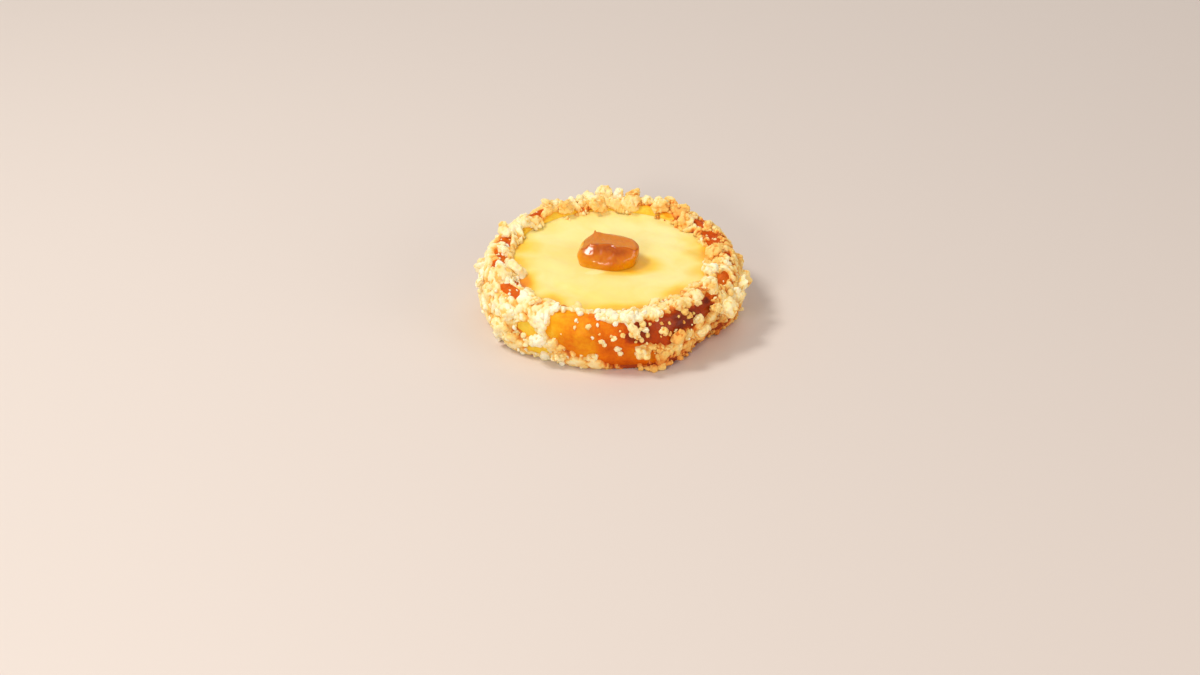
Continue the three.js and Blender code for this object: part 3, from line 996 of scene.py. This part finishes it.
def crumb_scatter(name, material, angles, shares, sizes, subdivisions=2, crumbly=0.0):
    """One piece of single crumbs stuck to the rim. crumbly is how grainy each of them is."""
    shapes = grain_shapes(12, subdivisions, 500)
    base, outs = rim_surface(angles, shares)
    height, _ = crumb_relief(base, COAT_SEED)
    cover = smoothstep(0.15, 0.75, crumb_cover(base, angles, shares))
    centres = base + outs * (0.3 * sizes + cover * np.minimum(height, sizes))[:, None]
    centres[:, 2] = np.maximum(centres[:, 2], 0.8 * sizes)
    _, dark, _, _ = rim_masks(base, angles, shares)
    points, triangles, owner = copied_grains(shapes, centres, sizes)
    strayed = points + 0.6 * np.stack([noise(points, 1.5, seed) for seed in (82, 83, 84)], 1)
    relief = 0.72 * grain_height(strayed, 1.9, GRAIN_SEED)
    relief = relief + 0.26 * grain_height(strayed, 0.8, FINE_GRAIN_SEED)
    spread = points - centres[owner]
    spread /= np.linalg.norm(spread, axis=1, keepdims=True)
    points = points + crumbly * spread * (relief - 0.3)[:, None]
    points[:, 2] = np.maximum(points[:, 2], 0.02)
    # Painted shade between each crumb's grains.
    painted_gap_shade = smoothstep(0.55, 0.1, relief)
    own_tone = random.normal(-0.08, 0.09, len(centres)) + 0.16 * dark
    tone = toast_and_painted_light(points) + own_tone[owner] + 0.34 * crumbly * painted_gap_shade
    obj = smooth_object(name, points, triangles, {"tone": tone})
    return finish_piece(obj, material)


# How many random places on the rim are tried for a crumb.
CRUMB_TRIES = 3000


def random_places(highest_share):
    """Random places on the rim: (angles, shares, points)."""
    angles = random.uniform(-180, 180, CRUMB_TRIES)
    shares = random.uniform(0.04, highest_share, CRUMB_TRIES)
    points, _ = rim_surface(angles, shares)
    return angles, shares, points


def scattered_crumbs(material):
    """Single crumbs roughen the coat and dot the bare dough."""
    angles, shares, places = random_places(1.16)
    cover = crumb_cover(places, angles, shares)
    washed, dark, _, _ = rim_masks(places, angles, shares)
    chance = 0.75 * cover + 0.05 * washed + 0.16 * dark
    keep = random.random(CRUMB_TRIES) < chance
    angles, shares = angles[keep], shares[keep]
    sizes = np.exp(random.normal(-0.72, 0.42, len(angles)))
    on_coat = cover[keep] > 0.4
    groups = [
        ("fine_crumbs_flank", on_coat & (shares < 0.5), 2),
        ("fine_crumbs_shoulder", on_coat & (shares >= 0.5) & (shares < 0.78), 2),
        ("fine_crumbs_crest", on_coat & (shares >= 0.78), 2),
        ("fine_crumbs_on_bare_dough", ~on_coat, 3),
    ]
    for name, chosen, subdivisions in groups:
        crumb_scatter(name, material, angles[chosen], shares[chosen], sizes[chosen], subdivisions)
    crumb_scatter("lone_crumbs", material, *np.array(LONE_CRUMBS, float).T, 3, 0.5)
    crumb_scatter("large_lumps", material, *np.array(LARGE_LUMPS, float).T, 5, 0.75)
    angles, shares, places = random_places(1.0)
    _, _, spots, _ = rim_masks(places, angles, shares)
    keep = random.random(CRUMB_TRIES) < 0.25 * spots
    sizes = np.exp(random.normal(-0.85, 0.35, keep.sum()))
    crumb_scatter("fine_crumbs_on_spots", material, angles[keep], shares[keep], sizes, 3)


# ---------------------------------------------------------------- stage

# The studio lights, in metres and watts: (name, place, size, power, colour).
LIGHTS = [
    ("key", (-0.49, 0.02, 0.78), 0.26, 4.3, (1.0, 0.97, 0.92)),
    ("front", (-0.30, -0.80, 0.42), 0.18, 2.5, (1.0, 0.97, 0.93)),
    ("back", (0.3, 0.8, 0.6), 0.6, 0.9, (1.0, 0.98, 0.96)),
    ("right", (0.75, -0.45, 0.35), 0.5, 1.9, (1.0, 0.88, 0.80)),
]
LIGHT_AIM = (0, 0, 0.015)
FLOOR_HALF = 3.0
# The camera stands in front of the pastry, at the photograph's viewing angle.
CAMERA_ELEVATION = 29.5
CAMERA_DISTANCE = 1.154
CAMERA_AIM = (-0.0042, -0.022, 0)


def stage():
    """The floor, the soft surrounding light and the lights."""
    floor = bpy.data.meshes.new("floor")
    half = FLOOR_HALF
    corners = [(-half, -half, 0), (half, -half, 0), (half, half, 0), (-half, half, 0)]
    floor.from_pydata(corners, [], [(0, 1, 2, 3)])
    floor.materials.append(floor_material())
    obj = bpy.data.objects.new("floor", floor)
    bpy.context.scene.collection.objects.link(obj)

    world = bpy.data.worlds.new("studio")
    world.use_nodes = True
    background = world.node_tree.nodes["Background"]
    background.inputs["Color"].default_value = (1.0, 0.98, 0.96, 1)
    background.inputs["Strength"].default_value = 0.45
    bpy.context.scene.world = world

    for light in LIGHTS:
        area_light(*light)


def area_light(name, place, size, power, colour):
    """A round lamp that points at the pastry."""
    light = bpy.data.lights.new(name, "AREA")
    light.shape = "DISK"
    light.size = size
    light.energy = power
    light.color = colour
    obj = bpy.data.objects.new(name, light)
    obj.location = place
    aim = Vector(LIGHT_AIM) - obj.location
    obj.rotation_euler = aim.to_track_quat("-Z", "Y").to_euler()
    bpy.context.scene.collection.objects.link(obj)


def camera():
    data = bpy.data.cameras.new("camera")
    data.lens = 90
    data.sensor_width = 36
    obj = bpy.data.objects.new("camera", data)
    elevation = math.radians(CAMERA_ELEVATION)
    back = Vector((0, -math.cos(elevation), math.sin(elevation)))
    obj.location = Vector(CAMERA_AIM) + back * CAMERA_DISTANCE
    obj.rotation_euler = (-back).to_track_quat("-Z", "Y").to_euler()
    bpy.context.scene.collection.objects.link(obj)
    bpy.context.scene.camera = obj


dough(dough_material())
filling(filling_material())
caramel(caramel_material())
streusel = streusel_material()
crumb_coat(streusel)
clump_pieces(streusel)
scattered_crumbs(streusel)
stage()
camera()
bpy.context.scene.view_settings.view_transform = "Standard"
